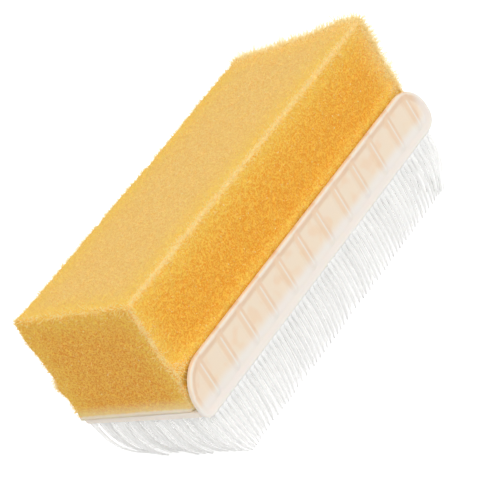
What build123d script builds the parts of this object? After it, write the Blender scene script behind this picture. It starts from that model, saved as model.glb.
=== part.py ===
from build123d import *
import math
import os

# A scrub brush: a foam sponge block bonded on top of a moulded plastic brush.
# The moulding has a thin back plate, two upturned finger grips and a dense
# field of fine tapered bristles.
#
# Millimetres. The origin is on the floor plane of the bristle tips, under the
# middle of the grips. +X runs along the brush, +Y across it, +Z up to the foam.

os.makedirs("parts", exist_ok=True)

# ---------------------------------------------------------------- dimensions

# Levels, measured up from the bristle tips
plate_underside = 13.05
plate_thickness = 1.2
bond_thickness = 0.15
foam_height = 23.2

# Foam block: square at the near end (-X), cut askew at the far end (+X)
foam_width = 29.1
foam_near_end = -42.6
foam_length = 85.0
foam_far_skew = 6.0
foam_edge_radius = 1.0

# Back plate: between the grips, wider than the foam, its near end a little
# out of square
plate_width = 31.7
plate_near_overhang_right = 0.9
plate_near_overhang_left = -0.3
plate_far_end = 43.6
plate_corner_radius = 2.4

# Bond film, inset from the foam's outline
bond_inset = 0.6

# Finger grips: thin upright wings along the plate's sides, standing a little
# off the foam, with a rim and raised ribs
grip_thickness = 0.9
grip_underside = 11.85
grip_height = 10.3
grip_top_corner_radius = 6.5
grip_near_foot_radius = 2.4
grip_far_foot_radius = 3.0
grip_rim = 1.5
grip_recess_depth = 0.4
right_grip_span = (-43.6, 43.6)
left_grip_span = (-39.8, 43.6)

# Ribs on the grips
rib_pitch = 7.01
rib_width = 2.2
rib_bottom = 13.5
rib_height = 7.4
rib_stand = 0.35
right_rib_count = 12
right_first_rib = -37.95
left_rib_count = 11

# Bristles
row_count = 18
row_spread = 32.6
bristle_pitch = 1.37
bristle_root_radius = 0.42
bristle_tip_radius = 0.2
land_width = 0.9
land_thickness = 0.25
field_end_inset = 0.8

# Inward lean of the bristle tips, largest at the edge of the field
near_lean = 5.5
near_lean_reach = 6.0
far_lean = 5.0
far_lean_reach = 4.0
side_lean = 1.7
side_lean_reach = 3.0

# ------------------------------------------------------------ derived values

half_width = foam_width / 2
plate_half_width = plate_width / 2
plate_top = plate_underside + plate_thickness
foam_bottom = plate_top + bond_thickness
foam_far_right = foam_near_end + foam_length
foam_far_left = foam_far_right - foam_far_skew
grip_top = grip_underside + grip_height


def plate_near_end(y):
    """The plate's near edge at a place across its width."""
    share = (y + half_width) / foam_width
    right, left = plate_near_overhang_right, plate_near_overhang_left
    return foam_near_end - right - (left - right) * share


# --------------------------------------------------------------- foam sponge

with BuildPart() as foam_sponge:
    with BuildSketch(Plane.XY.offset(foam_bottom)):
        with BuildLine():
            Polyline(
                (foam_near_end, -half_width),
                (foam_far_right, -half_width),
                (foam_far_left, half_width),
                (foam_near_end, half_width),
                close=True,
            )
        make_face()
    extrude(amount=foam_height)
    upright_edges = foam_sponge.edges().filter_by(Axis.Z)
    fillet(upright_edges, radius=foam_edge_radius)
    top_edges = foam_sponge.faces().sort_by(Axis.Z)[-1].edges()
    fillet(top_edges, radius=foam_edge_radius)
foam_sponge.part.label = "foam_sponge"
export_step(foam_sponge.part, "parts/foam_sponge.step")

# ------------------------------------------------------------ adhesive layer

with BuildPart() as adhesive_layer:
    with BuildSketch(Plane.XY.offset(plate_top)):
        with BuildLine():
            Polyline(
                (foam_near_end, -half_width),
                (foam_far_right, -half_width),
                (foam_far_left, half_width),
                (foam_near_end, half_width),
                close=True,
            )
        make_face()
        offset(amount=-bond_inset, kind=Kind.INTERSECTION)
    extrude(amount=bond_thickness)
adhesive_layer.part.label = "adhesive_layer"
export_step(adhesive_layer.part, "parts/adhesive_layer.step")

# ---------------------------------------------------------------- back plate

with BuildPart() as back_plate:
    with BuildSketch(Plane.XY.offset(plate_underside)):
        with BuildLine():
            Polyline(
                (plate_near_end(-plate_half_width), -plate_half_width),
                (plate_far_end, -plate_half_width),
                (plate_far_end, plate_half_width),
                (plate_near_end(plate_half_width), plate_half_width),
                close=True,
            )
        make_face()
    extrude(amount=plate_thickness)
    left_corners = back_plate.edges().filter_by(Axis.Z).group_by(Axis.Y)[-1]
    fillet(left_corners, radius=plate_corner_radius)
back_plate.part.label = "back_plate"
export_step(back_plate.part, "parts/back_plate.step")

# -------------------------------------------------------------- finger grips


def finger_grip(name, span, outward, first_rib, rib_count):
    """One side wing; outward is -1 on the right side and +1 on the left."""
    near, far = span
    inner_face = Plane.XZ.offset(-outward * plate_half_width)
    outer_face = Plane.XZ.offset(-outward * (plate_half_width + grip_thickness))
    floor_of_recess = Plane.XZ.offset(
        -outward * (plate_half_width + grip_thickness - grip_recess_depth)
    )
    with BuildPart() as grip:
        with BuildSketch(inner_face) as outline:
            with BuildLine():
                Polyline(
                    (near, grip_underside),
                    (far, grip_underside),
                    (far, grip_top),
                    (near, grip_top),
                    close=True,
                )
            make_face()
            fillet(outline.vertices().group_by(Axis.Y)[-1], radius=grip_top_corner_radius)
            near_foot = outline.vertices().group_by(Axis.Y)[0].sort_by(Axis.X)[0]
            fillet(near_foot, radius=grip_near_foot_radius)
            far_foot = outline.vertices().group_by(Axis.Y)[0].sort_by(Axis.X)[-1]
            fillet(far_foot, radius=grip_far_foot_radius)
        extrude(amount=-outward * grip_thickness)
        with BuildSketch(outer_face):
            add(outline.sketch)
            offset(amount=-grip_rim)
        extrude(amount=outward * grip_recess_depth, mode=Mode.SUBTRACT)
        with BuildSketch(floor_of_recess):
            rib_middle = rib_bottom + rib_height / 2
            for index in range(rib_count):
                with Locations((first_rib + index * rib_pitch, rib_middle)):
                    SlotOverall(rib_height, rib_width, rotation=90)
        extrude(amount=-outward * rib_stand)
    grip.part.label = name
    export_step(grip.part, f"parts/{name}.step")


left_middle = sum(left_grip_span) / 2
left_first_rib = left_middle - (left_rib_count - 1) * rib_pitch / 2
finger_grip("finger_grip_right", right_grip_span, -1, right_first_rib, right_rib_count)
finger_grip("finger_grip_left", left_grip_span, 1, left_first_rib, left_rib_count)

# -------------------------------------------------------------- bristle rows


def corner_setback(y):
    """How far the plate's rounded left corners cut its ends back at y."""
    into_corner = y - (plate_half_width - plate_corner_radius)
    if into_corner <= 0:
        return 0.0
    return plate_corner_radius - math.sqrt(plate_corner_radius**2 - into_corner**2)


def field_span(y):
    """Where a row's first and last bristles may stand."""
    if abs(y) > plate_half_width:
        near, far = right_grip_span if y < 0 else left_grip_span
        return near + grip_near_foot_radius, far - grip_far_foot_radius
    near = plate_near_end(y) + corner_setback(y) + field_end_inset
    far = plate_far_end - corner_setback(y) - field_end_inset
    return near, far


def lean(x, y):
    """How far a bristle's tip lies inward of its root, along X and Y."""
    from_near = x - plate_near_end(y) - field_end_inset
    from_far = plate_far_end - field_end_inset - x
    along = near_lean * math.exp(-from_near / near_lean_reach)
    along -= far_lean * math.exp(-from_far / far_lean_reach)
    edge = row_spread / 2
    inward = side_lean * math.exp((-edge - y) / side_lean_reach)
    inward -= side_lean * math.exp((y - edge) / side_lean_reach)
    return along, inward


def bristle_row(number):
    """One row along the brush: a thin moulded land and its tapered bristles."""
    y = -row_spread / 2 + (number - 1) * row_spread / (row_count - 1)
    under_grip = abs(y) > plate_half_width
    root_level = grip_underside if under_grip else plate_underside
    land_level = root_level - land_thickness
    near, far = field_span(y)
    stagger = bristle_pitch / 2 if number % 2 == 0 else 0.0
    first = near + bristle_root_radius + stagger
    count = int((far - bristle_root_radius - first) / bristle_pitch) + 1
    with BuildPart() as row:
        with BuildSketch(Plane.XY.offset(land_level)):
            with Locations(((near + far) / 2, y)):
                Rectangle(far - near, land_width)
        extrude(amount=land_thickness)
        bristles = []
        for index in range(count):
            x = first + index * bristle_pitch
            along, inward = lean(x, y)
            with BuildSketch(Plane((x, y, land_level)), mode=Mode.PRIVATE) as root:
                Circle(bristle_root_radius)
            with BuildSketch(Plane((x + along, y + inward, 0)), mode=Mode.PRIVATE) as tip:
                Circle(bristle_tip_radius)
            bristles.append(loft([root.sketch, tip.sketch], ruled=True, mode=Mode.PRIVATE))
        add(bristles)
    name = f"bristle_row_{number:02d}"
    row.part.label = name
    export_step(row.part, f"parts/{name}.step")


for row_number in range(1, row_count + 1):
    bristle_row(row_number)
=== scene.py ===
"""The looks of a foam-topped scrub brush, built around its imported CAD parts.

The brush is an open-cell foam block bonded on a moulded plastic brush, which has a back
plate, two ribbed finger grips and a field of fine curved bristles. Everything is in metres
in the part's own frame: X along the brush, Y across it, Z up from the bristle tips.
"""

import logging
import math
from collections.abc import Iterable, Sequence
from dataclasses import dataclass, field
from enum import Enum
from typing import Any

import bpy
import numpy as np
from mathutils import Matrix, Vector, geometry

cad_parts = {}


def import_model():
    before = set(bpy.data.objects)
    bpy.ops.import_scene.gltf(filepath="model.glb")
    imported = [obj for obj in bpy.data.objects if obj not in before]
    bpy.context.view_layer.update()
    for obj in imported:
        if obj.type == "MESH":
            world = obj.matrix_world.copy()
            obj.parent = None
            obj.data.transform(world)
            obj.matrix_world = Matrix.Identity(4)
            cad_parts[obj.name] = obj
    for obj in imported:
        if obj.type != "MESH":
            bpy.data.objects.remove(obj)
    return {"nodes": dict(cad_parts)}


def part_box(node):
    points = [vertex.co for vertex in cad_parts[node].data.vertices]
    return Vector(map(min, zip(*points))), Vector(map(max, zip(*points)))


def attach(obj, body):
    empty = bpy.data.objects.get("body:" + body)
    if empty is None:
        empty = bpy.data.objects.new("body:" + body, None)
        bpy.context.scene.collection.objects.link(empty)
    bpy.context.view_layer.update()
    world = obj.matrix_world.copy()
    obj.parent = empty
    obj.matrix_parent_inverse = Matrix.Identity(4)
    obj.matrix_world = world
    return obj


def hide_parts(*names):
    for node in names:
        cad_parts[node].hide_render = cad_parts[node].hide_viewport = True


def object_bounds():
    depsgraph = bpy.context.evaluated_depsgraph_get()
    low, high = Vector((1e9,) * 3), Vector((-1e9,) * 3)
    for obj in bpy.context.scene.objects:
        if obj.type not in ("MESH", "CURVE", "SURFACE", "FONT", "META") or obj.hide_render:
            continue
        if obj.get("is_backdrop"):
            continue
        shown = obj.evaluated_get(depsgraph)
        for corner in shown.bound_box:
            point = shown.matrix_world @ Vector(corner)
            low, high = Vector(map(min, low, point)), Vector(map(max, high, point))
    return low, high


LOG = logging.getLogger("scrub_brush")
MM = 0.001
ROOT = "root"

Colour = tuple[float, float, float]
Node = bpy.types.ShaderNode
Socket = bpy.types.NodeSocket


class Side(Enum):
    """The two long sides of the brush, as the sign of Y."""

    RIGHT = -1
    LEFT = 1


# ------------------------------------------------------------------ helpers


def smooth_step(low: float, high: float, value: np.ndarray) -> np.ndarray:
    """Rises smoothly from 0 to 1 as a value goes from low to high.

    Args:
        low: Where the rise starts.
        high: Where the rise ends.
        value: The values to look up.

    Returns:
        The share of the rise at each value.
    """
    share = np.clip((value - low) / (high - low), 0.0, 1.0)
    return share * share * (3.0 - 2.0 * share)


def smooth_top(first: np.ndarray, second: np.ndarray, blend: float) -> np.ndarray:
    """The higher of two heights, with a fillet of about the blend's size between them.

    Args:
        first: One height.
        second: The other height.
        blend: The height over which the two flow together.

    Returns:
        The combined height.
    """
    share = np.clip(0.5 + 0.5 * (first - second) / blend, 0.0, 1.0)
    return second + (first - second) * share + blend * share * (1.0 - share)


def bell(value: np.ndarray, middle: float, width: float) -> np.ndarray:
    """A smooth hump of height 1 round a middle value."""
    return np.exp(-(((value - middle) / width) ** 2))


def lattice_noise(points: np.ndarray, grain: float, seed: int) -> np.ndarray:
    """Smooth seeded noise in space.

    Args:
        points: Places in metres, one row each.
        grain: The size of a grain in metres.
        seed: Which noise.

    Returns:
        One value from -1 to 1 for each place.
    """
    spread = points / grain + 64.0 + seed * 7.31
    corner = np.floor(spread).astype(np.int64)
    inside = spread - corner
    inside = inside * inside * (3.0 - 2.0 * inside)
    total = np.zeros(len(points))
    for step in range(8):
        offset = np.array([step & 1, step >> 1 & 1, step >> 2 & 1])
        cell = corner + offset
        mixed = cell[:, 0] * 73856093 ^ cell[:, 1] * 19349663 ^ cell[:, 2] * 83492791
        mixed = (mixed ^ seed * 2654435761) & 0xFFFFFFFF
        mixed = (mixed ^ mixed >> 16) * 0x45D9F3B & 0xFFFFFFFF
        mixed = (mixed ^ mixed >> 16) * 0x45D9F3B & 0xFFFFFFFF
        value = (mixed ^ mixed >> 16) / 0xFFFFFFFF * 2.0 - 1.0
        weight = np.where(offset == 1, inside, 1.0 - inside).prod(axis=1)
        total += value * weight
    return total


def new_piece(
    name: str,
    points: np.ndarray | Sequence[Sequence[float]],
    faces: Iterable[Sequence[int]],
    material: bpy.types.Material,
) -> bpy.types.Object:
    """Makes a smooth-shaded mesh piece that rides on the brush.

    Args:
        name: The piece's name.
        points: Its vertices in metres.
        faces: Its faces as vertex numbers.
        material: Its finish.

    Returns:
        The new object.
    """
    mesh = bpy.data.meshes.new(name)
    rows = points.tolist() if isinstance(points, np.ndarray) else points
    mesh.from_pydata(rows, [], [list(face) for face in faces])
    mesh.validate()
    mesh.shade_smooth()
    mesh.materials.append(material)
    piece = show(name, mesh)
    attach(piece, ROOT)
    return piece


def show(name: str, data: bpy.types.ID) -> bpy.types.Object:
    """Puts new data in the scene.

    Args:
        name: The object's name.
        data: Its mesh, lamp or camera data.

    Returns:
        The object.
    """
    thing = bpy.data.objects.new(name, data)
    bpy.context.scene.collection.objects.link(thing)
    return thing


def write_attribute(piece: bpy.types.Object, name: str, values: np.ndarray) -> None:
    """Stores one number per vertex for the finish to read.

    Args:
        piece: The mesh piece.
        name: The attribute's name.
        values: One value per vertex.
    """
    attribute = piece.data.attributes.new(name, "FLOAT", "POINT")
    attribute.data.foreach_set("value", values.astype(np.float32))


def bridge(first: Sequence[int], second: Sequence[int]) -> list[tuple[int, int, int, int]]:
    """Quads between two closed loops of the same length.

    Args:
        first: Vertex numbers of one loop.
        second: Vertex numbers of the other.

    Returns:
        The faces between them.
    """
    count = len(first)
    following = [(place + 1) % count for place in range(count)]
    return [
        (first[here], first[after], second[after], second[here])
        for here, after in enumerate(following)
    ]


def soft_edge(radius: float, steps: int) -> list[tuple[float, float]]:
    """The inset and the drop at each step round an edge, from its side to its face."""
    turns = np.linspace(0.0, math.pi / 2, steps + 1)
    return [(radius * (1 - math.cos(turn)), radius * (1 - math.sin(turn))) for turn in turns]


# ------------------------------------------------------------------ finishes


class NodeTree:
    """The nodes of a material or of the world, with short ways to add and join them."""

    def __init__(self, owner: bpy.types.Material | bpy.types.World) -> None:
        """Turns the owner's nodes on and takes hold of them."""
        owner.use_nodes = True
        self.tree = owner.node_tree

    def add(self, kind: str, **settings: Any) -> Node:
        """Adds a node.

        Args:
            kind: The node's type without its ShaderNode prefix.
            settings: Properties of the node.

        Returns:
            The new node.
        """
        node = self.tree.nodes.new("ShaderNode" + kind)
        for name, value in settings.items():
            setattr(node, name, value)
        return node

    def join(self, source: Socket | float | Sequence[float], target: Socket) -> None:
        """Links a socket to an input, or sets the input to a plain value.

        Args:
            source: An output socket or a value.
            target: The input socket.
        """
        if isinstance(source, bpy.types.NodeSocket):
            self.tree.links.new(source, target)
        else:
            target.default_value = source

    def math(self, operation: str, *terms: Socket | float) -> Socket:
        """One step of arithmetic.

        Args:
            operation: The Math node's operation.
            terms: Its inputs.

        Returns:
            The result.
        """
        node = self.add("Math", operation=operation)
        for term, target in zip(terms, node.inputs):
            self.join(term, target)
        return node.outputs[0]

    def plus(self, value: Socket, extra: Socket, share: float) -> Socket:
        """A value with a share of another added."""
        return self.math("ADD", value, self.math("MULTIPLY", extra, share))

    def spread(self, value: Socket, low: float, high: float, start: float, end: float) -> Socket:
        """Maps a range of values smoothly onto another.

        Args:
            value: The value.
            low: Where the range starts.
            high: Where it ends.
            start: The result at low.
            end: The result at high.

        Returns:
            The mapped value.
        """
        node = self.add("MapRange", interpolation_type="SMOOTHSTEP")
        for target, term in zip(node.inputs, (value, low, high, start, end)):
            self.join(term, target)
        return node.outputs[0]

    def seen_directly(self) -> Socket:
        """1 for what the camera, a reflection or a see-through surface shows, else 0."""
        path = self.add("LightPath").outputs
        either = self.math("MAXIMUM", path["Is Camera Ray"], path["Is Glossy Ray"])
        return self.math("MAXIMUM", either, path["Is Transmission Ray"])


class Graph(NodeTree):
    """A new material round a Principled shader."""

    def __init__(self, name: str) -> None:
        """Starts a material.

        Args:
            name: The material's name.
        """
        self.material = bpy.data.materials.new(name)
        super().__init__(self.material)
        self.shader = self.tree.nodes["Principled BSDF"]
        self.output = self.tree.nodes["Material Output"]

    def place(self) -> Socket:
        """The place on the object in metres."""
        return self.add("TexCoord").outputs["Object"]

    def stored(self, name: str) -> Socket:
        """A number stored on the mesh."""
        return self.add("Attribute", attribute_name=name).outputs["Fac"]

    def noise(self, grain: float, detail: float = 2.0) -> Socket:
        """Noise over the object.

        Args:
            grain: The size of a grain in metres.
            detail: How many finer layers it has.

        Returns:
            A value around 0.5.
        """
        node = self.add("TexNoise")
        self.join(self.place(), node.inputs["Vector"])
        node.inputs["Scale"].default_value = 1.0 / grain
        node.inputs["Detail"].default_value = detail
        return node.outputs["Fac"]

    def cells(self, size: float, output: str = "Distance") -> Socket:
        """A pattern of cells in space.

        Args:
            size: The size of a cell in metres.
            output: Which output to read.

        Returns:
            The chosen output.
        """
        node = self.add("TexVoronoi")
        self.join(self.place(), node.inputs["Vector"])
        node.inputs["Scale"].default_value = 1.0 / size
        return node.outputs[output]

    def mix(self, share: Socket | float, first: Socket | Colour, second: Socket | Colour) -> Socket:
        """A blend of two colours.

        Args:
            share: How much of the second.
            first: One colour.
            second: The other.

        Returns:
            The blended colour.
        """
        node = self.add("Mix", data_type="RGBA")
        self.join(share, node.inputs["Factor"])
        for colour, name in ((first, "A"), (second, "B")):
            target = next(s for s in node.inputs if s.name == name and s.type == "RGBA")
            self.join(colour if isinstance(colour, bpy.types.NodeSocket) else (*colour, 1.0), target)
        return next(s for s in node.outputs if s.type == "RGBA")

    def bump(self, height: Socket, depth: float, strength: float) -> Socket:
        """A bumped normal.

        Args:
            height: The height from 0 to 1.
            depth: The full height in metres.
            strength: How strongly it shades.

        Returns:
            The normal.
        """
        node = self.add("Bump")
        node.inputs["Strength"].default_value = strength
        node.inputs["Distance"].default_value = depth
        self.join(height, node.inputs["Height"])
        return node.outputs["Normal"]

    def set(self, **values: Socket | float | Sequence[float]) -> None:
        """Sets or links inputs of the Principled shader, named with _ for a space."""
        for name, value in values.items():
            self.join(value, self.shader.inputs[name.replace("_", " ")])


@dataclass(frozen=True)
class FoamFinish:
    """Open-cell foam: irregular fine pores, painted glints for bright strut ends, a top painted paler
    for its sheen, painted paler light along the edges and a painted highlight band along the
    near-right edges.
    """

    side: Colour = (1.0, 0.52, 0.060)
    pore: Colour = (0.89, 0.335, 0.022)
    cut: Colour = (1.0, 0.565, 0.095)
    # painted sheen: the top face is painted paler and less saturated, standing in for the sheen seen
    # on it at a grazing angle
    cut_pore: Colour = (0.85, 0.305, 0.035)
    top_sheen: Colour = (0.98, 0.64, 0.20)
    top_sheen_pore: Colour = (0.90, 0.49, 0.11)
    # painted light: paler, yellower colour along the block's edges, standing in for light that passes
    # through the foam near an edge
    edge: Colour = (1.0, 0.635, 0.105)
    # painted highlight: the pale colour of the highlight band along the near-right edges, also used
    # for the painted light on the frayed far end
    painted_pale: Colour = (1.0, 0.83, 0.45)
    soaked: Colour = (1.0, 0.79, 0.38)
    glued: Colour = (1.0, 0.88, 0.74)
    # painted glint colour
    glint_tint: Colour = (1.0, 0.84, 0.40)
    fine_grain: float = 0.25 * MM
    coarse_grain: float = 0.5 * MM
    cell: float = 0.36 * MM
    cell_share: float = 0.3
    coarse_share: float = 0.35
    solid_range: tuple[float, float] = (0.70, 0.92)
    glint_cell: float = 0.24 * MM
    glint_range: tuple[float, float] = (0.93, 0.95)
    unevenness: float = 0.8
    soak_share: float = 0.75
    fray_light_share: float = 0.7
    edge_light_ramp: tuple[float, float, float, float] = (0.0, 0.7, 0.0, 0.95)
    highlight_band_ramp: tuple[float, float, float, float] = (0.25, 0.9, 0.0, 0.75)
    glue_ramp: tuple[float, float, float, float] = (0.94, 1.0, 0.0, 0.8)
    relief: float = 0.15 * MM

    def make(self) -> bpy.types.Material:
        """Builds the foam's material."""
        graph = Graph("foam_finish")
        coarse = graph.noise(self.coarse_grain, 2.0)
        cells = graph.cells(self.cell)
        height = graph.plus(graph.noise(self.fine_grain, 3.0), cells, self.cell_share)
        height = graph.plus(height, coarse, self.coarse_share)
        solid = graph.spread(height, *self.solid_range, 0.0, 1.0)
        top_sheen = graph.stored("top_sheen")
        drift = graph.math("MULTIPLY", graph.math("SUBTRACT", coarse, 0.5), self.unevenness)
        # painted light along the edges, from the stored edge share, which also places more loose
        # struts there
        edge = graph.spread(graph.math("ADD", graph.stored("edge"), drift), *self.edge_light_ramp)
        # painted highlight band along the near-right edges
        rub = graph.spread(graph.math("ADD", graph.stored("rub"), drift), *self.highlight_band_ramp)
        soak = graph.math("MULTIPLY", graph.stored("soak"), self.soak_share)
        # painted light: the frayed far end is mixed towards a pale colour, covering the shade of the
        # far face
        fray = graph.math("MULTIPLY", graph.stored("fray"), self.fray_light_share)
        cut = graph.stored("cut")
        # painted sheen: bright and dark pores turn to the top face's paler colours
        bright = graph.mix(top_sheen, graph.mix(cut, self.side, self.cut), self.top_sheen)
        dark = graph.mix(top_sheen, graph.mix(cut, self.pore, self.cut_pore), self.top_sheen_pore)
        # painted light: both bright and dark pores turn paler near an edge
        bright = graph.mix(edge, bright, self.edge)
        dark = graph.mix(graph.math("MULTIPLY", edge, 0.5), dark, self.edge)
        body = graph.mix(solid, dark, bright)
        glued = graph.spread(graph.stored("soak"), *self.glue_ramp)
        # the glue soak and glued band are the foam's colours; the highlight band and the frayed end's
        # pale are painted light
        layers = (soak, self.soaked), (glued, self.glued), (rub, self.painted_pale), (fray, self.painted_pale)
        for share, colour in layers:
            body = graph.mix(share, body, colour)
        # painted glints: tiny pale specks over the skin, standing in for strut ends catching the light
        glint = graph.spread(graph.cells(self.glint_cell, "Color"), *self.glint_range, 0.0, 0.7)
        body = graph.mix(glint, body, self.glint_tint)
        graph.set(
            Base_Color=body,
            Roughness=0.92,
            Subsurface_Weight=0.2,
            Subsurface_Radius=(1.0, 0.45, 0.12),
            Subsurface_Scale=0.7 * MM,
            Specular_IOR_Level=0.15,
            Sheen_Weight=0.1,
            Sheen_Roughness=0.6,
            Sheen_Tint=(1.0, 0.85, 0.6, 1.0),
            Normal=graph.bump(solid, self.relief, 0.55),
        )
        return graph.material


@dataclass(frozen=True)
class StrutFinish:
    """Loose strut ends: thin pale threads of foam, painted paler near the edges and on the frayed end
    and given a faint painted glow, both standing in for the light through them.
    """

    thread: Colour = (1.0, 0.83, 0.44)
    root: Colour = (1.0, 0.66, 0.17)
    painted_glow: float = 0.16

    def make(self) -> bpy.types.Material:
        """Builds the loose struts' material."""
        graph = Graph("strut_finish")
        tone = graph.noise(0.9 * MM, 2.0)
        # painted light: threads near the edges and on the frayed end are painted paler (with some
        # random tone), covering their shade
        edge_light = graph.math("MULTIPLY", graph.stored("edge"), 0.35)
        pale = graph.plus(graph.math("MAXIMUM", graph.stored("fray"), edge_light), tone, 0.5)
        graph.set(
            Base_Color=graph.mix(graph.spread(pale, 0.2, 0.8, 0.0, 1.0), self.root, self.thread),
            Roughness=graph.spread(tone, 0.3, 0.7, 0.6, 0.8),
            # painted glow: a faint emission, though the threads are no lamp
            Emission_Color=(1.0, 0.82, 0.36, 1.0),
            Emission_Strength=self.painted_glow,
            Normal=graph.bump(tone, 0.02 * MM, 0.3),
        )
        return graph.material


@dataclass(frozen=True)
class BondFinish:
    """A thin cured bond film, amber and slightly uneven."""

    film: Colour = (0.85, 0.60, 0.30)
    thick: Colour = (0.78, 0.48, 0.18)

    def make(self) -> bpy.types.Material:
        """Builds the bond film's material."""
        graph = Graph("bond_finish")
        smear = graph.noise(4 * MM, 3.0)
        graph.set(
            Base_Color=graph.mix(graph.spread(smear, 0.35, 0.65, 0.0, 1.0), self.film, self.thick),
            Roughness=graph.spread(smear, 0.3, 0.7, 0.25, 0.45),
            Normal=graph.bump(smear, 0.1 * MM, 0.5),
        )
        return graph.material


@dataclass(frozen=True)
class FrostedFinish:
    """Milky translucent plastic, with a painted warm tint where foam lies behind, standing in for the
    foam seen through it, deeper where it is thick, and with painted highlights on the rib crests and
    along the rim.
    """

    clear: Colour = (1.0, 0.91, 0.84)
    warm: Colour = (1.0, 0.815, 0.64)
    blush: Colour = (0.99, 0.73, 0.52)
    clear_thick: Colour = (0.95, 0.86, 0.79)
    warm_thick: Colour = (0.92, 0.67, 0.46)
    # painted highlight colour for the rib crests and the rim's edge line
    crest: Colour = (1.0, 0.95, 0.88)

    def make(self) -> bpy.types.Material:
        """Builds the frosted plastic's material."""
        graph = Graph("frosted_finish")
        cloud = graph.noise(5 * MM, 2.0)
        skin = graph.noise(0.25 * MM, 2.0)
        # painted light: the warm tint where foam lies behind stands for the foam's colour seen through
        # the plastic; its blush patches vary at random
        behind = graph.stored("behind")
        patch = graph.spread(graph.noise(3.2 * MM, 1.0), 0.48, 0.68, 0.0, 0.75)
        tint = graph.mix(patch, self.warm, self.blush)
        thin = graph.mix(behind, self.clear, tint)
        thick = graph.mix(behind, self.clear_thick, self.warm_thick)
        body = graph.mix(graph.stored("thick"), thin, thick)
        # painted highlights on the rib crests and along the rim
        body = graph.mix(graph.stored("crest"), body, self.crest)
        graph.set(
            Base_Color=body,
            Roughness=graph.spread(cloud, 0.3, 0.7, 0.3, 0.42),
            Subsurface_Weight=0.35,
            Subsurface_Radius=(1.0, 0.8, 0.6),
            Subsurface_Scale=0.5 * MM,
            Transmission_Weight=0.08,
            IOR=1.5,
            Normal=graph.bump(skin, 0.03 * MM, 0.3),
        )
        return graph.material


@dataclass(frozen=True)
class BristleFinish:
    """Clear to milky bristle plastic, milkier at the root, with streaks along each bristle and a faint
    painted glow standing in for the light that scatters from bristle to bristle.
    """

    milk: Colour = (0.99, 0.99, 0.985)
    shade: Colour = (0.90, 0.90, 0.895)
    painted_glow: float = 0.070

    def make(self) -> bpy.types.Material:
        """Builds the bristles' material."""
        graph = Graph("bristle_finish")
        streak = graph.noise(0.6 * MM, 2.0)
        tone = graph.math("MULTIPLY", graph.stored("tone"), graph.spread(streak, 0.3, 0.7, 0.6, 1.0))
        graph.set(
            Base_Color=graph.mix(tone, self.milk, self.shade),
            Roughness=graph.spread(graph.stored("milk"), 0.0, 1.0, 0.12, 0.6),
            Transmission_Weight=graph.spread(graph.stored("milk"), 0.0, 1.0, 0.95, 0.2),
            IOR=1.4,
            # painted glow: a faint emission, standing in for the light scattered from bristle to
            # bristle
            Emission_Color=(1.0, 0.99, 0.97, 1.0),
            Emission_Strength=self.painted_glow,
            Normal=graph.bump(streak, 0.02 * MM, 0.2),
        )
        return graph.material


# ---------------------------------------------------------------- foam block


@dataclass(frozen=True)
class HandCut:
    """How the block departs from a true one: a flared left edge, a raised corner, soft swells."""

    flare: float = 0.25 * MM
    flare_rise: float = 0.75 * MM
    flare_level: float = 9 * MM
    flare_reach: float = 2.2 * MM
    hollow: float = 0.5 * MM
    hollow_place: float = 54 * MM
    hollow_width: float = 9 * MM
    tuft: float = 0.8 * MM
    tuft_rise: float = 0.45 * MM
    tuft_length: float = 5 * MM
    tuft_place: float = 4 * MM
    tuft_width: float = 5 * MM
    swell: float = 0.95 * MM
    swell_level: float = 7.4 * MM
    swell_width: float = 1.8 * MM
    foot: float = 0.7 * MM
    foot_reach: float = 1.0 * MM

    def shift(self, points: np.ndarray, size: np.ndarray) -> np.ndarray:
        """Where the cut and the pressed places move the skin.

        Args:
            points: The points in the block's own corner frame.
            size: The block's size.

        Returns:
            The shift of each point.
        """
        x, y, z = points.T
        across = y / size[1]
        bow = np.clip(np.abs(z - self.flare_level) / self.flare_level, 0.0, 1.0) ** 2
        flare = (self.flare + self.flare_rise * bow) * np.exp(-x / self.flare_reach)
        hollow = self.hollow * bell(x, self.hollow_place, self.hollow_width)
        far = smooth_step(size[0] - self.tuft_length, size[0], x)
        tuft = far * bell(y, self.tuft_place, self.tuft_width) * smooth_step(0.5, 1.0, z / size[2])
        sideways = smooth_step(0.7, 1.0, across) - smooth_step(0.7, 1.0, 1.0 - across)
        swell = bell(z, self.swell_level, self.swell_width) * sideways * (1.0 - far)
        foot = (1.0 - across) * np.exp(-(x + z) / self.foot_reach)
        left = smooth_step(0.65, 1.0, across)
        return np.stack(
            [
                self.tuft * tuft - self.foot * foot,
                left * (flare - hollow) + self.swell * swell,
                self.tuft_rise * tuft,
            ],
            1,
        )


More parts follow.
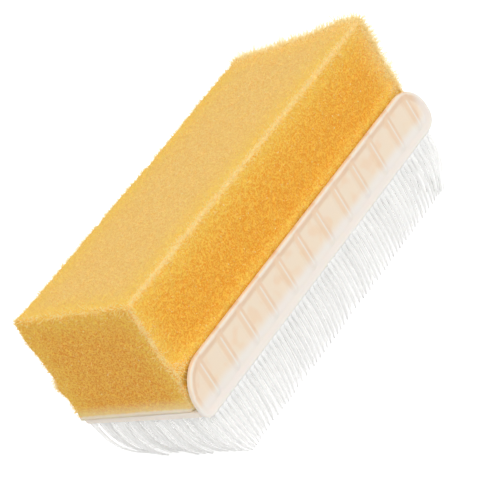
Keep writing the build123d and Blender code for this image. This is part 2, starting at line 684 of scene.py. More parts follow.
@dataclass(frozen=True)
class LooseStruts:
    """Fine loose strut ends standing off the foam's skin, thicker along its edges."""

    finish: StrutFinish = StrutFinish()
    count: int = 24000
    width: float = 0.05 * MM
    taper: float = 0.55
    sink: float = 0.1 * MM
    scatter: float = 0.5
    on_faces: float = 0.06
    on_edges: float = 3.0
    on_fray: float = 4.0
    edge_sharpness: int = 6
    edge_length: float = 0.25
    shortest: float = 0.25 * MM
    usual: float = 0.16 * MM
    frayed: float = 0.65 * MM
    longest: float = 2.4 * MM
    pattern: Sequence[Sequence[int]] = ((0, 1, 4, 3), (1, 2, 5, 4), (2, 0, 3, 5), (2, 1, 0), (3, 4, 5))
    seed: int = 7

    def build(
        self,
        points: np.ndarray,
        normal: np.ndarray,
        stored: dict[str, np.ndarray],
        kept: np.ndarray,
        step: float,
    ) -> bpy.types.Object:
        """Makes the struts.

        Args:
            points: The block's vertices.
            normal: Their outward directions.
            stored: What is stored on the skin.
            kept: The vertices that may carry a strut.
            step: How far apart the vertices are.

        Returns:
            The struts' piece.
        """
        chance = np.random.default_rng(self.seed)
        fray = stored["fray"]
        crest = stored["edge"] ** self.edge_sharpness
        weight = self.on_faces + self.on_edges * crest[kept] + self.on_fray * fray[kept]
        chosen = chance.choice(kept, self.count, p=weight / weight.sum())
        jitter = chance.uniform(-0.5, 0.5, (self.count, 3)) * step
        foot = points[chosen] + jitter - normal[chosen] * self.sink
        way = normal[chosen] + chance.normal(0.0, self.scatter, (self.count, 3))
        way /= np.linalg.norm(way, axis=1, keepdims=True)
        reach = self.shortest + chance.exponential(self.usual, self.count)
        loose = fray[chosen] + self.edge_length * crest[chosen]
        reach += loose * chance.exponential(self.frayed, self.count)
        tip = foot + way * np.minimum(reach, self.longest)[:, None]
        across = np.cross(way, chance.normal(0.0, 1.0, (self.count, 3)))
        across *= self.width / np.linalg.norm(across, axis=1, keepdims=True)
        over = np.cross(way, across)
        ring = [across, over * 0.87 - across * 0.5, -over * 0.87 - across * 0.5]
        corners = [foot + side for side in ring] + [tip + side * self.taper for side in ring]
        per_strut = len(corners)
        starts = range(0, self.count * per_strut, per_strut)
        faces = [[corner + start for corner in face] for start in starts for face in self.pattern]
        flat = np.stack(corners, 1).reshape(-1, 3)
        piece = new_piece("foam_struts", flat, faces, self.finish.make())
        for name, values in stored.items():
            write_attribute(piece, name, np.repeat(values[chosen], per_strut))
        return piece


@dataclass
class FoamBlock:
    """The foam sponge block: a skewed, hand-cut block with an open-cell skin and loose struts."""

    finish: FoamFinish = FoamFinish()
    cut: HandCut = HandCut()
    loose: LooseStruts = LooseStruts()
    step: float = 0.31 * MM
    radius: float = 1.0 * MM
    glue_line: float = 0.14 * MM
    bare_foot: float = 0.4 * MM
    lumps: Sequence[tuple[float, float]] = (
        (14 * MM, 0.16 * MM),
        (3.2 * MM, 0.08 * MM),
        (1.1 * MM, 0.11 * MM),
        (0.6 * MM, 0.13 * MM),
    )
    edge_light_reach: float = 3.5 * MM
    highlight_band_reach: float = 0.9 * MM
    fray_reach: float = 1.6 * MM
    fray_levels: tuple[float, float] = (3 * MM, 12 * MM)
    rim_reach: float = 3.0 * MM
    rim_least: float = 0.25
    # painted light: where the paler line on the foam over the grip's top edge lies
    grip_top: float = 8.2 * MM
    grip_top_width: float = 1.1 * MM
    # painted sheen: the depths below the top over which the top face's paler colour fades out
    top_sheen_depths: tuple[float, float] = (0.1 * MM, 0.9 * MM)
    cut_depths: tuple[float, float] = (0.1 * MM, 0.7 * MM)
    soak_levels: tuple[float, float] = (0.3 * MM, 3.2 * MM)
    flat_foot: float = 0.6 * MM
    fewest_steps: int = 4

    def build(self, node: bpy.types.Object) -> list[bpy.types.Object]:
        """Makes the foam in the space of its CAD solid.

        Args:
            node: The CAD node it stands for.

        Returns:
            The foam block and its loose strut ends.
        """
        low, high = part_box(node.name)
        far_left = max(v.co.x for v in node.data.vertices if v.co.y > high.y - 2 * MM)
        size = np.array(high - low)
        counts = np.maximum(np.round(size / self.step), self.fewest_steps).astype(int)
        index, places = self.lattice(counts)
        points = places / counts * size
        core = np.clip(points, [self.radius, self.radius, 0.0], size - self.radius)
        away = points - core
        normal = away / np.maximum(np.linalg.norm(away, axis=1, keepdims=True), 1e-9)
        points = core + normal * self.radius
        lowest = places[:, 2] == 0
        points[:, 2] = np.where(lowest, 0.0, points[:, 2])
        stored = self.regions(points, size)
        rise = sum(
            lattice_noise(points, grain, seed) * height
            for seed, (grain, height) in enumerate(self.lumps)
        )
        rise *= smooth_step(0.0, self.flat_foot, points[:, 2])
        points += normal * rise[:, None] + self.cut.shift(points, size)
        skew = (high.x - far_left) * points[:, 1] / size[1]
        points[:, 0] *= 1.0 - skew / size[0]
        points[:, 2] = np.where(lowest, -self.glue_line, points[:, 2])
        points += low
        material = self.finish.make()
        block = new_piece("foam_block", points, self.faces(index), material)
        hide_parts(node.name)
        kept = np.flatnonzero(points[:, 2] > low.z + self.bare_foot)
        struts = self.loose.build(points, normal, stored, kept, self.step)
        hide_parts(node.name)
        for name, values in stored.items():
            write_attribute(block, name, values)
        return [block, struts]

    def lattice(self, counts: np.ndarray) -> tuple[np.ndarray, np.ndarray]:
        """Numbers the points of a block's skin, with an open underside.

        Args:
            counts: Steps along each axis.

        Returns:
            The vertex number at each lattice place, and each vertex's place.
        """
        along, across, up = (int(count) for count in counts)
        skin = np.zeros((along + 1, across + 1, up + 1), bool)
        skin[[0, -1], :, :] = True
        skin[:, [0, -1], :] = True
        skin[:, :, -1] = True
        index = np.full(skin.shape, -1)
        index[skin] = np.arange(skin.sum())
        return index, np.argwhere(skin).astype(float)

    def faces(self, index: np.ndarray) -> list[Sequence[int]]:
        """Joins the skin's points into faces, with one face underneath.

        Args:
            index: The vertex number at each lattice place.

        Returns:
            The faces, all facing outward.
        """
        sheets = [
            (index[0], True),
            (index[-1], False),
            (index[:, 0], False),
            (index[:, -1], True),
            (index[:, :, -1], False),
        ]
        faces: list[Sequence[int]] = []
        for sheet, turned in sheets:
            corners = [sheet[:-1, :-1], sheet[1:, :-1], sheet[1:, 1:], sheet[:-1, 1:]]
            if turned:
                corners.reverse()
            faces.extend(np.stack([c.ravel() for c in corners], 1).tolist())
        near = index[0, ::-1, 0].tolist()
        right = index[1:, 0, 0].tolist()
        far = index[-1, 1:, 0].tolist()
        left = index[-2:0:-1, -1, 0].tolist()
        faces.append((near + right + far + left)[::-1])
        return faces

    def regions(self, points: np.ndarray, size: np.ndarray) -> dict[str, np.ndarray]:
        """What the finish and the struts need to know about each place on the skin.

        Args:
            points: The points in the block's own corner frame.
            size: The block's size.

        Returns:
            Shares from 0 to 1: near an edge (painted paler light, and painted light over the grip's
                top edge), on top (painted sheen), in the painted highlight band along the near-right
                edges, cut open, glue-soaked, frayed (loose struts, and painted paler light).
        """
        x, y, z = points.T
        far = size[0] - x
        top = size[2] - z
        gaps = np.sort(np.stack([x, far, y, size[1] - y, top], 1), axis=1)
        from_rim = np.min([y, size[1] - y, top], axis=0)
        rim = self.rim_least + (1.0 - self.rim_least) * np.exp(-from_rim / self.rim_reach)
        beside = np.exp(-np.minimum(y, size[1] - y) / (1.0 * MM))
        # painted light: a paler line on the foam just over the grip's top edge, covering the shade in
        # the gap between foam and grip
        light_over_grip = beside * bell(z, self.grip_top, self.grip_top_width)
        # painted light along the edges: the share near an edge, which also sets where loose struts
        # gather
        edge = np.exp(-gaps[:, 1] / self.edge_light_reach) + 0.5 * light_over_grip
        # painted highlight band: the distance to the near-right upright edge and to the right top edge
        near_right = np.minimum(np.hypot(x, y), np.hypot(y, top))
        fray = np.exp(-far / self.fray_reach) * smooth_step(*self.fray_levels, z)
        return {
            "edge": np.clip(edge, 0.0, 1.0),
            "top_sheen": 1.0 - smooth_step(*self.top_sheen_depths, top),
            "rub": np.exp(-near_right / self.highlight_band_reach),
            "cut": 1.0 - smooth_step(*self.cut_depths, x),
            "soak": 1.0 - smooth_step(*self.soak_levels, z),
            "fray": fray * rim,
        }


# ------------------------------------------------------- moulded plastic brush


def rounded_outline(
    low: Vector | Sequence[float],
    high: Vector | Sequence[float],
    radii: Sequence[float],
    inset: float,
    spacing: float,
) -> np.ndarray:
    """A rounded rectangle's outline, inset evenly.

    Args:
        low: Its lowest corner.
        high: Its highest corner.
        radii: Corner radii, from the lowest corner round by way of the high first axis.
        inset: How far inside the full outline.
        spacing: About how far apart the points are on the full outline.

    Returns:
        The points, with the same count for any inset.
    """
    corners = ((low[0], low[1]), (high[0], low[1]), (high[0], high[1]), (low[0], high[1]))
    signs = ((1, 1), (-1, 1), (-1, -1), (1, -1))
    arcs = []
    for turn, (corner, sign, radius) in enumerate(zip(corners, signs, radii)):
        count = max(6, int(radius * math.pi / 2 / spacing))
        kept = max(radius - inset, 0.12 * MM)
        middle = np.array(corner) + np.array(sign) * (inset + kept)
        angle = math.pi + turn * math.pi / 2 + np.linspace(0, math.pi / 2, count)
        arcs.append(middle + kept * np.stack([np.cos(angle), np.sin(angle)], 1))
    loop = []
    lengths = (high[0] - low[0], high[1] - low[1], high[0] - low[0], high[1] - low[1])
    for turn, arc in enumerate(arcs):
        loop.append(arc)
        count = max(2, int(lengths[turn] / spacing))
        share = np.linspace(0, 1, count + 1)[1:-1, None]
        loop.append(arc[-1] * (1 - share) + arcs[(turn + 1) % 4][0] * share)
    return np.concatenate(loop)


@dataclass
class FingerGrip:
    """One upright side wing: a rounded rim round a thin panel crossed by raised ribs."""

    side: Side
    first_rib: float
    rib_count: int
    finish: bpy.types.Material
    rib_pitch: float = 7.01 * MM
    rib_half_width: float = 1.3 * MM
    rib_foot: float = 1.5 * MM
    crest_offset: float = 0.13 * MM
    recess: float = 0.4 * MM
    edge_round: float = 0.3 * MM
    back_round: float = 0.2 * MM
    radii: Sequence[float] = (2.4 * MM, 3.0 * MM, 6.5 * MM, 6.5 * MM)
    spacing: float = 0.22 * MM
    edge_steps: int = 5
    back_steps: int = 3
    insets: Sequence[float] = (0.45, 0.6, 0.75, 0.9, 1.05, 1.2, 1.35, 1.5, 1.65, 1.8)
    fill_gap: float = 0.12
    rim: tuple[float, float] = (0.45 * MM, 1.75 * MM)
    rib_height: float = 0.9
    rib_blend: float = 0.3
    highest: float = 1.04
    far_skew: float = 6 * MM
    # painted highlights: the width of the crest line, and the rim line's place, width and share
    highlight_width: float = 0.17 * MM
    rim_highlight: float = 0.32 * MM
    rim_highlight_width: float = 0.16 * MM
    rim_highlight_share: float = 0.6
    lip: tuple[float, float] = (-0.3 * MM, 1.8 * MM)
    near_shade: tuple[float, float] = (-2.5 * MM, -0.5 * MM)
    far_shade: tuple[float, float] = (-1.5 * MM, 0.5 * MM)
    thick_band: Sequence[float] = (0.5 * MM, 0.85 * MM, 1.4 * MM, 1.9 * MM)
    thick_share: float = 0.85
    # painted highlights: how strong the crest line is and how far inside the rim it starts
    highlight_share: float = 0.85
    highlight_depths: tuple[float, float] = (1.3 * MM, 1.9 * MM)
    along_gap: float = 0.8
    up_gap: float = 1.25

    @property
    def node(self) -> str:
        """The CAD node the grip stands for."""
        return f"finger_grip_{self.side.name.lower()}"

    def build(self) -> bpy.types.Object:
        """Makes the grip in the space of its CAD solid.

        Returns:
            The grip piece.
        """
        low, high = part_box(self.node)
        corners = (low.x, low.z), (high.x, high.z)
        edge = soft_edge(self.edge_round, self.edge_steps)
        rings = [self.outline(corners, inset) for inset, _ in edge]
        rings += [self.outline(corners, inset * MM) for inset in self.insets]
        per_loop = len(rings[0])
        inner, inner_faces, places = self.fill(rings.pop(), corners)
        flat = np.concatenate([*rings, inner])
        height = self.relief(flat, *corners)
        height[: per_loop * len(edge)] -= np.repeat([drop for _, drop in edge], per_loop)
        outward = self.side.value
        inner_face = low.y if outward > 0 else high.y
        front = inner_face + outward * (high.y - low.y + height)
        parts = [np.stack([flat[:, 0], front, flat[:, 1]], 1)]
        for inset, drop in soft_edge(self.back_round, self.back_steps):
            loop = self.outline(corners, inset)
            depth = inner_face + outward * drop
            parts.append(np.stack([loop[:, 0], np.full(per_loop, depth), loop[:, 1]], 1))
        vertices = np.concatenate(parts)
        faces: list[Sequence[int]] = []
        loops = [range(ring * per_loop, (ring + 1) * per_loop) for ring in range(len(rings))]
        start = len(rings) * per_loop
        loops.append([start + place for place in places])
        for outer, inside in zip(loops, loops[1:]):
            faces += bridge(outer, inside)
        faces += [[start + corner for corner in face] for face in inner_faces]
        back = [range(at, at + per_loop) for at in range(len(flat), len(vertices), per_loop)]
        for deeper, outer in zip(back, [loops[0], *back]):
            faces += bridge(deeper, outer)
        faces.append(list(back[-1])[::-1])
        if outward > 0:
            faces = [list(face)[::-1] for face in faces]
        name = f"grip_{self.side.name.lower()}"
        piece = new_piece(name, vertices, faces, self.finish)
        self.dress(piece, vertices)
        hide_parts(self.node)
        return piece

    def outline(self, corners: Sequence[Sequence[float]], inset: float) -> np.ndarray:
        """The grip's outline, inset evenly."""
        return rounded_outline(*corners, self.radii, inset, self.spacing)

    def fill(
        self, border: np.ndarray, corners: Sequence[Sequence[float]]
    ) -> tuple[np.ndarray, list[Sequence[int]], list[int]]:
        """Fills the panel inside a border with an even mesh.

        Args:
            border: The border's points.
            corners: The grip's lowest and highest corners.

        Returns:
            The points, the faces, and the place of each border point among the points.
        """
        low, high = corners
        inset = (self.insets[-1] + self.fill_gap) * MM
        along = np.arange(low[0] + inset, high[0] - inset, self.spacing * self.along_gap)
        up = np.arange(low[1] + inset, high[1] - inset, self.spacing * self.up_gap)
        grid = np.stack(np.meshgrid(along, up), -1).reshape(-1, 2)
        grid = grid[self.depth_inside(grid, low, high) > inset]
        count = len(border)
        edges = [(place, (place + 1) % count) for place in range(count)]
        flat = [Vector(point) for point in np.concatenate([border, grid]).tolist()]
        points, _, faces, origins, _, _ = geometry.delaunay_2d_cdt(flat, edges, [], 1, 1e-9)
        lookup = {origin: place for place, group in enumerate(origins) for origin in group}
        return np.array([tuple(p) for p in points]), faces, [lookup[place] for place in range(count)]

    def depth_inside(
        self, points: np.ndarray, low: Sequence[float], high: Sequence[float]
    ) -> np.ndarray:
        """How far inside the outline each point lies.

        Args:
            points: Places on the grip's face.
            low: The outline's lowest corner.
            high: Its highest corner.

        Returns:
            The distance to the outline, negative outside.
        """
        middle = (np.array(low) + np.array(high)) / 2
        half = (np.array(high) - np.array(low)) / 2
        local = points - middle
        near, bottom = local[:, 0] < 0, local[:, 1] < 0
        radius = np.where(
            bottom,
            np.where(near, self.radii[0], self.radii[1]),
            np.where(near, self.radii[3], self.radii[2]),
        )
        corner = np.abs(local) - half + radius[:, None]
        outside = np.linalg.norm(np.maximum(corner, 0.0), axis=1)
        inside = np.minimum(corner.max(axis=1), 0.0)
        return radius - outside - inside

    def off_rib(self, points: np.ndarray) -> np.ndarray:
        """How far along the brush each place is from the nearest rib's middle.

        Args:
            points: Places on the grip's face.

        Returns:
            The signed distances.
        """
        places = (points[:, 0] - self.first_rib) / self.rib_pitch
        number = np.clip(np.round(places), 0, self.rib_count - 1)
        return (places - number) * self.rib_pitch

    def ribs(self, points: np.ndarray, bottom: float) -> np.ndarray:
        """How high the ribs stand at each place.

        Args:
            points: Places on the grip's face.
            bottom: The grip's lower edge.

        Returns:
            A share from 0 between ribs to 1 on a crest.
        """
        foot = bottom + self.rib_foot + self.rib_half_width
        below = np.maximum(foot - points[:, 1], 0.0)
        gap = np.hypot(self.off_rib(points), below) / self.rib_half_width
        return np.cos(np.clip(gap, 0.0, 1.0) * math.pi / 2) ** 0.8

    def relief(
        self, points: np.ndarray, low: Sequence[float], high: Sequence[float]
    ) -> np.ndarray:
        """Height of the outer face against the rim's top.

        Args:
            points: Places on the grip's face.
            low: The outline's lowest corner.
            high: Its highest corner.

        Returns:
            Heights from minus the recess depth to 0.
        """
        depth = self.depth_inside(points, low, high)
        rim = 1.0 - smooth_step(*self.rim, depth)
        rib = self.ribs(points, low[1]) * self.rib_height
        share = smooth_top(rim, rib, self.rib_blend)
        return self.recess * (np.minimum(share, self.highest) - 1.0)

    def dress(self, piece: bpy.types.Object, vertices: np.ndarray) -> None:
        """Stores what the finish needs to know about each place.

        Args:
            piece: The grip.
            vertices: Its vertices.
        """
        low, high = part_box(self.node)
        flat = vertices[:, [0, 2]]
        foam_low, foam_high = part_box("foam_sponge")
        # painted light: the share where foam lies behind the grip, for the warm see-through tint
        lip = smooth_step(*(foam_low.z + reach for reach in self.lip), flat[:, 1])
        ends = smooth_step(*(foam_low.x + reach for reach in self.near_shade), flat[:, 0])
        far_end = foam_high.x if self.side is Side.RIGHT else foam_high.x - self.far_skew
        ends *= 1.0 - smooth_step(*(far_end + reach for reach in self.far_shade), flat[:, 0])
        write_attribute(piece, "behind", lip * ends)
        depth = self.depth_inside(flat, (low.x, low.z), (high.x, high.z))
        off = self.off_rib(flat)
        rib = self.ribs(flat - np.array([self.crest_offset, 0.0]), low.z)
        body = smooth_step(0.1, 0.6, rib) * (0.6 + 0.4 * smooth_step(0.0, 0.4 * MM, off))
        band = smooth_step(*self.thick_band[:2], depth)
        band *= 1.0 - smooth_step(*self.thick_band[2:], depth)
        write_attribute(piece, "thick", np.maximum(body, self.thick_share * band))
        # painted highlights: a bright line along each rib's crest, a little to its right, and a line
        # along the rim's outer edge
        crest = self.highlight_share * bell(off, self.crest_offset, self.highlight_width)
        crest *= smooth_step(0.4, 0.9, rib) * smooth_step(*self.highlight_depths, depth)
        line = bell(depth, self.rim_highlight, self.rim_highlight_width)
        write_attribute(piece, "crest", np.clip(crest + self.rim_highlight_share * line, 0.0, 1.0))


@dataclass
class BackPlate:
    """The thin plate between the grips that carries the foam and the bristles."""

    finish: bpy.types.Material
    edge_round: float = 0.25 * MM
    edge_steps: int = 5
    left_corner: float = 2.4 * MM
    right_corner: float = 0.3 * MM
    arc_points: int = 9
    side_points: int = 41
    sharpest: float = 0.1 * MM
    slack: float = 0.1 * MM
    cap_inset: float = 2.0 * MM
    # painted light: the share of warm see-through tint for the foam behind the plate
    foam_behind: float = 0.3

    def outline(self, node: bpy.types.Object) -> np.ndarray:
        """The plate's corners in plan, read from its CAD solid.

        Args:
            node: The CAD node.

        Returns:
            Near right, far right, far left and near left corners.
        """
        low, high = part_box(node.name)
        rows = np.array([tuple(v.co) for v in node.data.vertices])
        right = rows[rows[:, 1] < low.y + self.slack]
        straight_end = high.y - self.left_corner
        left = rows[rows[:, 1] < straight_end + self.slack]
        left = left[left[:, 1] > straight_end - self.slack]
        slope = (left[:, 0].min() - low.x) / (straight_end - low.y)
        near_left = low.x + slope * (high.y - low.y)
        far = right[:, 0].max()
        return np.array([[low.x, low.y], [far, low.y], [far, high.y], [near_left, high.y]])

    def loop(self, corners: np.ndarray, inset: float) -> np.ndarray:
        """The outline inset evenly, with its left corners rounded.

        Args:
            corners: The four corners in plan.
            inset: How far inside.

        Returns:
            Points round the outline.
        """
        middle = corners.mean(axis=0)
        arcs = []
        for place, corner in enumerate(corners):
            before = corners[place - 1] - corner
            after = corners[(place + 1) % 4] - corner
            before /= np.linalg.norm(before)
            after /= np.linalg.norm(after)
            radius = self.left_corner if corner[1] > middle[1] else self.right_corner
            kept = max(radius - inset, self.sharpest)
            half_angle = math.acos(float(np.clip(before @ after, -1, 1))) / 2
            bisector = (before + after) / np.linalg.norm(before + after)
            centre = corner + bisector * (inset + kept) / math.sin(half_angle)
            start = math.atan2(before[0], -before[1])
            angles = start + np.linspace(0, math.pi - 2 * half_angle, self.arc_points)
            arcs.append(centre + kept * np.stack([np.cos(angles), np.sin(angles)], 1))
        loop = []
        for place, arc in enumerate(arcs):
            loop.append(arc)
            share = np.linspace(0, 1, self.side_points)[1:-1, None]
            loop.append(arc[-1] * (1 - share) + arcs[(place + 1) % 4][0] * share)
        return np.concatenate(loop)

    def build(self, node: bpy.types.Object) -> bpy.types.Object:
        """Makes the plate in the space of its CAD solid.

        Args:
            node: The CAD node it stands for.

        Returns:
            The plate piece.
        """
        low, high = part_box(node.name)
        corners = self.outline(node)
        edge = soft_edge(self.edge_round, self.edge_steps)
        levels = [(self.cap_inset, high.z)]
        levels += [(inset, high.z - drop) for inset, drop in reversed(edge)]
        levels += [(inset, low.z + drop) for inset, drop in edge]
        levels.append((self.cap_inset, low.z))
        rings = []
        for inset, level in levels:
            flat = self.loop(corners, inset)
            rings.append(np.column_stack([flat, np.full(len(flat), level)]))
        per_loop = len(rings[0])
        loops = [range(at * per_loop, (at + 1) * per_loop) for at in range(len(rings))]
        faces: list[Sequence[int]] = [list(loops[0])]
        for upper, lower in zip(loops, loops[1:]):
            faces += bridge(lower, upper)
        faces.append(list(loops[-1])[::-1])
        vertices = np.concatenate(rings)
        piece = new_piece("plate", vertices, faces, self.finish)
        for name, value in (("behind", self.foam_behind), ("thick", 0.0), ("crest", 0.0)):
            write_attribute(piece, name, np.full(len(vertices), value))
        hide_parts(node.name)
        return piece


@dataclass
class Strands:
    """The growing mesh of one bristle row."""

    points: list[np.ndarray] = field(default_factory=list)
    faces: list[Sequence[int]] = field(default_factory=list)
    tones: list[np.ndarray] = field(default_factory=list)
    milks: list[np.ndarray] = field(default_factory=list)

    def piece(self, name: str, finish: bpy.types.Material) -> bpy.types.Object:
        """Makes the row's piece.

        Args:
            name: Its name.
            finish: Its material.

        Returns:
            The piece.
        """
        piece = new_piece(name, np.concatenate(self.points), self.faces, finish)
        write_attribute(piece, "tone", np.concatenate(self.tones))
        write_attribute(piece, "milk", np.concatenate(self.milks))
        return piece


@dataclass
class BristleField:
    """All the bristles, one piece for each row along the brush."""

    finish: bpy.types.Material
    corners: np.ndarray
    pitch: float = 1.37 * MM
    inset: float = 0.8 * MM
    root_radius: float = 0.42 * MM
    root_flare: float = 0.36 * MM
    tip_radius: float = 0.17 * MM
    near_lean: float = 5.5 * MM
    near_reach: float = 6.0 * MM
    far_lean: float = 5.0 * MM
    far_reach: float = 4.0 * MM
    side_lean: float = 1.7 * MM
    side_reach: float = 3.0 * MM
    bend: float = 2.5
    overhang: float = 0.45 * MM
    clump: float = 5.0 * MM
    clump_along: float = 1.0 * MM
    clump_across: float = 0.6 * MM
    jitter: float = 0.05 * MM
    shortening: float = 0.15 * MM
    root_milk: float = 0.15
    outer_milk: float = 0.55
    outer_depth: float = 2 * MM
    outer_places: float = 1.5
    grip_squeeze: float = 0.55
    taper: float = 0.85
    flare_share: float = 0.10
    ring_gather: float = 1.25
    tip_ring: float = 0.6
    tip_ring_lift: float = 0.15
    tip_length: float = 0.6
    sway_seeds: tuple[int, int] = (11, 12)
    sides: int = 8
    rings: int = 14
    seed: int = 41

    def build(self, nodes: Sequence[str]) -> list[bpy.types.Object]:
        """Makes every row.

        Args:
            nodes: The CAD rows, from right to left.

        Returns:
            The row pieces.
        """
        chance = np.random.default_rng(self.seed)
        boxes = [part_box(node) for node in nodes]
        return [
            self.row(number, node, *box, chance)
            for number, (node, box) in enumerate(zip(nodes, boxes))
        ]

    @property
    def edge(self) -> float:
        """How far the field reaches to each side of the brush's middle."""
        return self.corners[2][1] + self.overhang

    def near_end(self, y: float) -> float:
        """Where the plate's near edge lies.

        Args:
            y: The place across the brush.

        Returns:
            The edge's place along the brush.
        """
        near_right, _, _, near_left = self.corners
        share = (y - near_right[1]) / (near_left[1] - near_right[1])
        return float(near_right[0] + (near_left[0] - near_right[0]) * share)

    def row(
        self, number: int, node: str, low: Vector, high: Vector, chance: np.random.Generator
    ) -> bpy.types.Object:
        """Makes one row.

        Args:
            number: The row's place from the right.
            node: The CAD node it stands for.
            low: The node's lowest corner; not used.
            high: The node's highest corner.
            chance: The seeded random source.

        Returns:
            The row piece.
        """
        cad = bpy.data.objects[node]
        rows = np.array([tuple(v.co) for v in cad.data.vertices])
        land = rows[rows[:, 2] > high.z - 0.01 * MM]
        near, far = land[:, 0].min(), land[:, 0].max()
        y = (land[:, 1].min() + land[:, 1].max()) / 2
        stagger = self.pitch / 2 if number % 2 else 0.0
        first = near + self.root_radius + stagger
        count = int((far - self.root_radius - first) / self.pitch) + 1
        under_grip = abs(y) > self.corners[2][1]
        squeeze = self.grip_squeeze if under_grip else 1.0
        strands = Strands()
        from_side = (self.edge - abs(y)) / self.outer_depth
        for place in range(count):
            line = self.centre_line(first + place * self.pitch, y, high.z, chance)
            from_end = min(place, count - 1 - place) / self.outer_places
            outer = math.exp(-min(from_side, from_end))
            self.add_bristle(strands, line, squeeze, outer, chance)
        piece = strands.piece(f"bristles_{number + 1:02d}", self.finish)
        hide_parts(node)
        return piece

    def centre_line(
        self, x: float, y: float, level: float, chance: np.random.Generator
    ) -> np.ndarray:
        """A bristle's curved middle line, from its root down to its tip.

        Args:
            x: The root's place along the brush.
            y: The root's place across it.
            level: The root's height.
            chance: The seeded random source.

        Returns:
            Points on the line.
        """
        from_near = x - self.near_end(y) - self.inset
        from_far = self.corners[1][0] - self.inset - x
        along = self.near_lean * math.exp(-from_near / self.near_reach)
        along -= self.far_lean * math.exp(-from_far / self.far_reach)
        across = self.side_lean * math.exp((-self.edge - y) / self.side_reach)
        across -= self.side_lean * math.exp((y - self.edge) / self.side_reach)
        spot = np.array([[x, y, 0.0]])
        sway_along, sway_across = (
            float(lattice_noise(spot, self.clump, seed)[0]) for seed in self.sway_seeds
        )
        along += self.clump_along * sway_along + chance.normal(0, self.jitter)
        across += self.clump_across * sway_across + chance.normal(0, self.jitter)
        share = np.linspace(0.0, 1.0, self.rings) ** self.ring_gather
        curve = share**self.bend
        tip = abs(chance.normal(0, self.shortening))
        return np.stack([x + along * curve, y + across * curve, level + (tip - level) * share], 1)

    def add_bristle(
        self,
        strands: Strands,
        line: np.ndarray,
        squeeze: float,
        outer: float,
        chance: np.random.Generator,
    ) -> None:
        """Adds one tapered bristle with a flared root and a rounded tip.

        Args:
            strands: The row's mesh so far.
            line: The bristle's middle line.
            squeeze: How much the root is narrowed across the brush.
            outer: How close the bristle stands to the field's edge, from 0 to 1.
            chance: The seeded random source.
        """
        start = sum(len(part) for part in strands.points)
        share = (line[0, 2] - line[:, 2]) / (line[0, 2] - line[-1, 2])
        swelling = (1.0 - share) ** self.taper
        radius = self.tip_radius + (self.root_radius - self.tip_radius) * swelling
        flare = np.exp(-share / self.flare_share)
        radius += self.root_flare * flare
        turn = np.linspace(0, 2 * math.pi, self.sides, endpoint=False) + chance.uniform(0, math.pi)
        circle = np.stack([np.cos(turn), np.sin(turn), np.zeros(self.sides)], 1)
        narrow = np.array([0.0, 1.0, 0.0]) * (squeeze - 1.0)
        rings = [
            middle + circle * size * (1.0 + narrow * kept)
            for middle, size, kept in zip(line, radius, np.exp(-share / self.root_milk))
        ]
        tip = line[-1] + np.array([0.0, 0.0, -self.tip_radius * self.tip_length])
        lift = np.array([0, 0, self.tip_radius * self.tip_ring_lift])
        rings.append((rings[-1] - line[-1]) * self.tip_ring + tip + lift)
        strands.points.append(np.concatenate([*rings, tip[None]]))
        for ring in range(len(rings) - 1):
            upper = range(start + ring * self.sides, start + (ring + 1) * self.sides)
            lower = range(start + (ring + 1) * self.sides, start + (ring + 2) * self.sides)
            strands.faces += bridge(lower, upper)
        last = start + (len(rings) - 1) * self.sides
        point = start + len(rings) * self.sides
        strands.faces += [
            (last + (side + 1) % self.sides, last + side, point) for side in range(self.sides)
        ]
        strands.faces.append([start + side for side in range(self.sides)])
        milk = np.maximum(np.exp(-share / self.root_milk), self.outer_milk * outer)
        milks = np.append(np.repeat(milk, self.sides), np.full(self.sides + 1, milk[-1]))
        strands.milks.append(milks)
        strands.tones.append(np.full(len(milks), chance.uniform(0, 1) ** 2))


# -------------------------------------------------------------------- studio


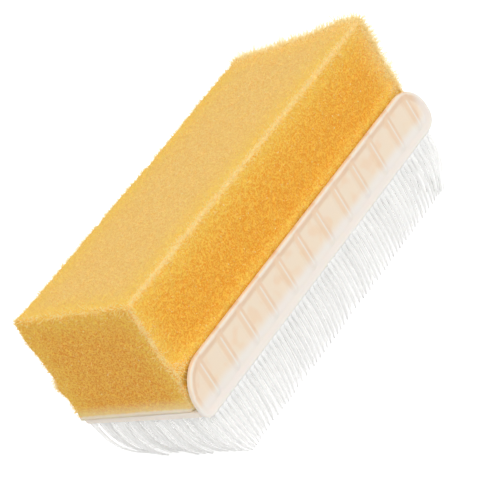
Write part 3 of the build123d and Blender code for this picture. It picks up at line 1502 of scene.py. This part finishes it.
@dataclass
class Studio:
    """Camera, plain white floor, pale surroundings and one soft lamp."""

    azimuth: float = -41.33
    elevation: float = 23.40
    roll: float = 32.66
    distance: float = 535.8 * MM
    lens: float = 208.7
    aim: Sequence[float] = (-0.06 * MM, -0.71 * MM, -1.32 * MM)
    floor_half: float = 3.0
    floor_glow: float = 0.62
    sky_light: float = 0.75
    lamp_azimuth: float = -10
    lamp_elevation: float = 50
    lamp_distance: float = 900 * MM
    lamp_size: float = 400 * MM
    lamp_power: float = 2.4

    def build(self, low: Vector, high: Vector) -> None:
        """Sets up everything round the brush.

        Args:
            low: The brush's lowest corner.
            high: Its highest corner.
        """
        centre = (low + high) / 2
        self.camera(centre)
        self.floor(low.z)
        self.world()
        self.lamp(centre)
        LOG.info("studio ready")

    def direction(self, azimuth: float, elevation: float) -> Vector:
        """The way from the brush towards a place on the sky.

        Args:
            azimuth: Degrees round from -Y towards +X.
            elevation: Degrees above the floor.

        Returns:
            A unit vector.
        """
        turn, rise = math.radians(azimuth), math.radians(elevation)
        return Vector(
            (math.sin(turn) * math.cos(rise), -math.cos(turn) * math.cos(rise), math.sin(rise))
        )

    def facing(self, target: Vector, back: Vector, distance: float) -> Matrix:
        """The pose of something that looks at a place from afar.

        Args:
            target: What it looks at.
            back: The way from there towards it.
            distance: How far off it is.

        Returns:
            Its pose in the world.
        """
        turn = (-back).to_track_quat("-Z", "Y").to_matrix().to_4x4()
        return Matrix.Translation(target + back * distance) @ turn

    def camera(self, centre: Vector) -> None:
        """Makes the scene's camera.

        Args:
            centre: The middle of the brush.
        """
        data = bpy.data.cameras.new("camera")
        data.lens = self.lens
        data.sensor_width = 36.0
        data.clip_start = 0.01
        data.clip_end = 20.0
        camera = show("camera", data)
        back = self.direction(self.azimuth, self.elevation)
        aim = centre + Vector(self.aim)
        roll = Matrix.Rotation(math.radians(-self.roll), 4, "Z")
        camera.matrix_world = self.facing(aim, back, self.distance) @ roll
        bpy.context.scene.camera = camera

    def floor(self, level: float) -> None:
        """Makes the white floor under the bristle tips.

        Args:
            level: The floor's height.
        """
        graph = Graph("floor_finish")
        graph.set(Base_Color=(0.8, 0.8, 0.8, 1.0), Roughness=0.9)
        shown = graph.seen_directly()
        graph.set(
            Emission_Strength=graph.math("MULTIPLY", shown, self.floor_glow),
            Emission_Color=(1.0, 1.0, 1.0, 1.0),
        )
        clear = graph.add("BsdfTransparent")
        choose = graph.add("MixShader")
        graph.join(graph.add("NewGeometry").outputs["Backfacing"], choose.inputs[0])
        graph.join(graph.shader.outputs[0], choose.inputs[1])
        graph.join(clear.outputs[0], choose.inputs[2])
        graph.join(choose.outputs[0], graph.output.inputs["Surface"])
        signs = ((-1, -1), (1, -1), (1, 1), (-1, 1))
        corners = [(x * self.floor_half, y * self.floor_half, level) for x, y in signs]
        mesh = bpy.data.meshes.new("floor")
        mesh.from_pydata(corners, [], [(0, 1, 2, 3)])
        mesh.materials.append(graph.material)
        show("floor", mesh)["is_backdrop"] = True

    def world(self) -> None:
        """Makes the pale surroundings, shown as plain white."""
        world = bpy.data.worlds.new("surroundings")
        bpy.context.scene.world = world
        graph = NodeTree(world)
        strength = graph.spread(graph.seen_directly(), 0.0, 1.0, self.sky_light, 1.0)
        back = graph.tree.nodes["Background"].inputs
        graph.join(strength, back["Strength"])
        graph.join((1.0, 1.0, 1.0, 1.0), back["Color"])

    def lamp(self, centre: Vector) -> None:
        """Adds one soft square lamp that faces the brush.

        Args:
            centre: The middle of the brush.
        """
        data = bpy.data.lights.new("key_lamp", "AREA")
        data.size = self.lamp_size
        data.energy = self.lamp_power
        back = self.direction(self.lamp_azimuth, self.lamp_elevation)
        show("key_lamp", data).matrix_world = self.facing(centre, back, self.lamp_distance)


def main() -> None:
    """Builds the brush's pieces in order and sets the scene round them."""
    logging.basicConfig(level=logging.INFO, format="%(name)s: %(message)s")
    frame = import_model()
    nodes = frame["nodes"]
    cad_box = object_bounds()
    pieces = FoamBlock().build(nodes["foam_sponge"])
    film = nodes["adhesive_layer"]
    film.data.materials.clear()
    film.data.materials.append(BondFinish().make())
    frosted = FrostedFinish().make()
    base = BackPlate(frosted)
    pieces.append(base.build(nodes["back_plate"]))
    pieces.append(FingerGrip(Side.RIGHT, -37.95 * MM, 12, frosted).build())
    pieces.append(FingerGrip(Side.LEFT, -33.15 * MM, 11, frosted).build())
    rows = sorted(name for name in nodes if name.startswith("bristle_row"))
    corners = base.outline(nodes["back_plate"])
    pieces += BristleField(BristleFinish().make(), corners).build(rows)
    for piece in pieces:
        LOG.info("%s: %d faces", piece.name, len(piece.data.polygons))
    Studio().build(*cad_box)
    bpy.context.scene.view_settings.view_transform = "Standard"


if __name__ == "__main__":
    main()
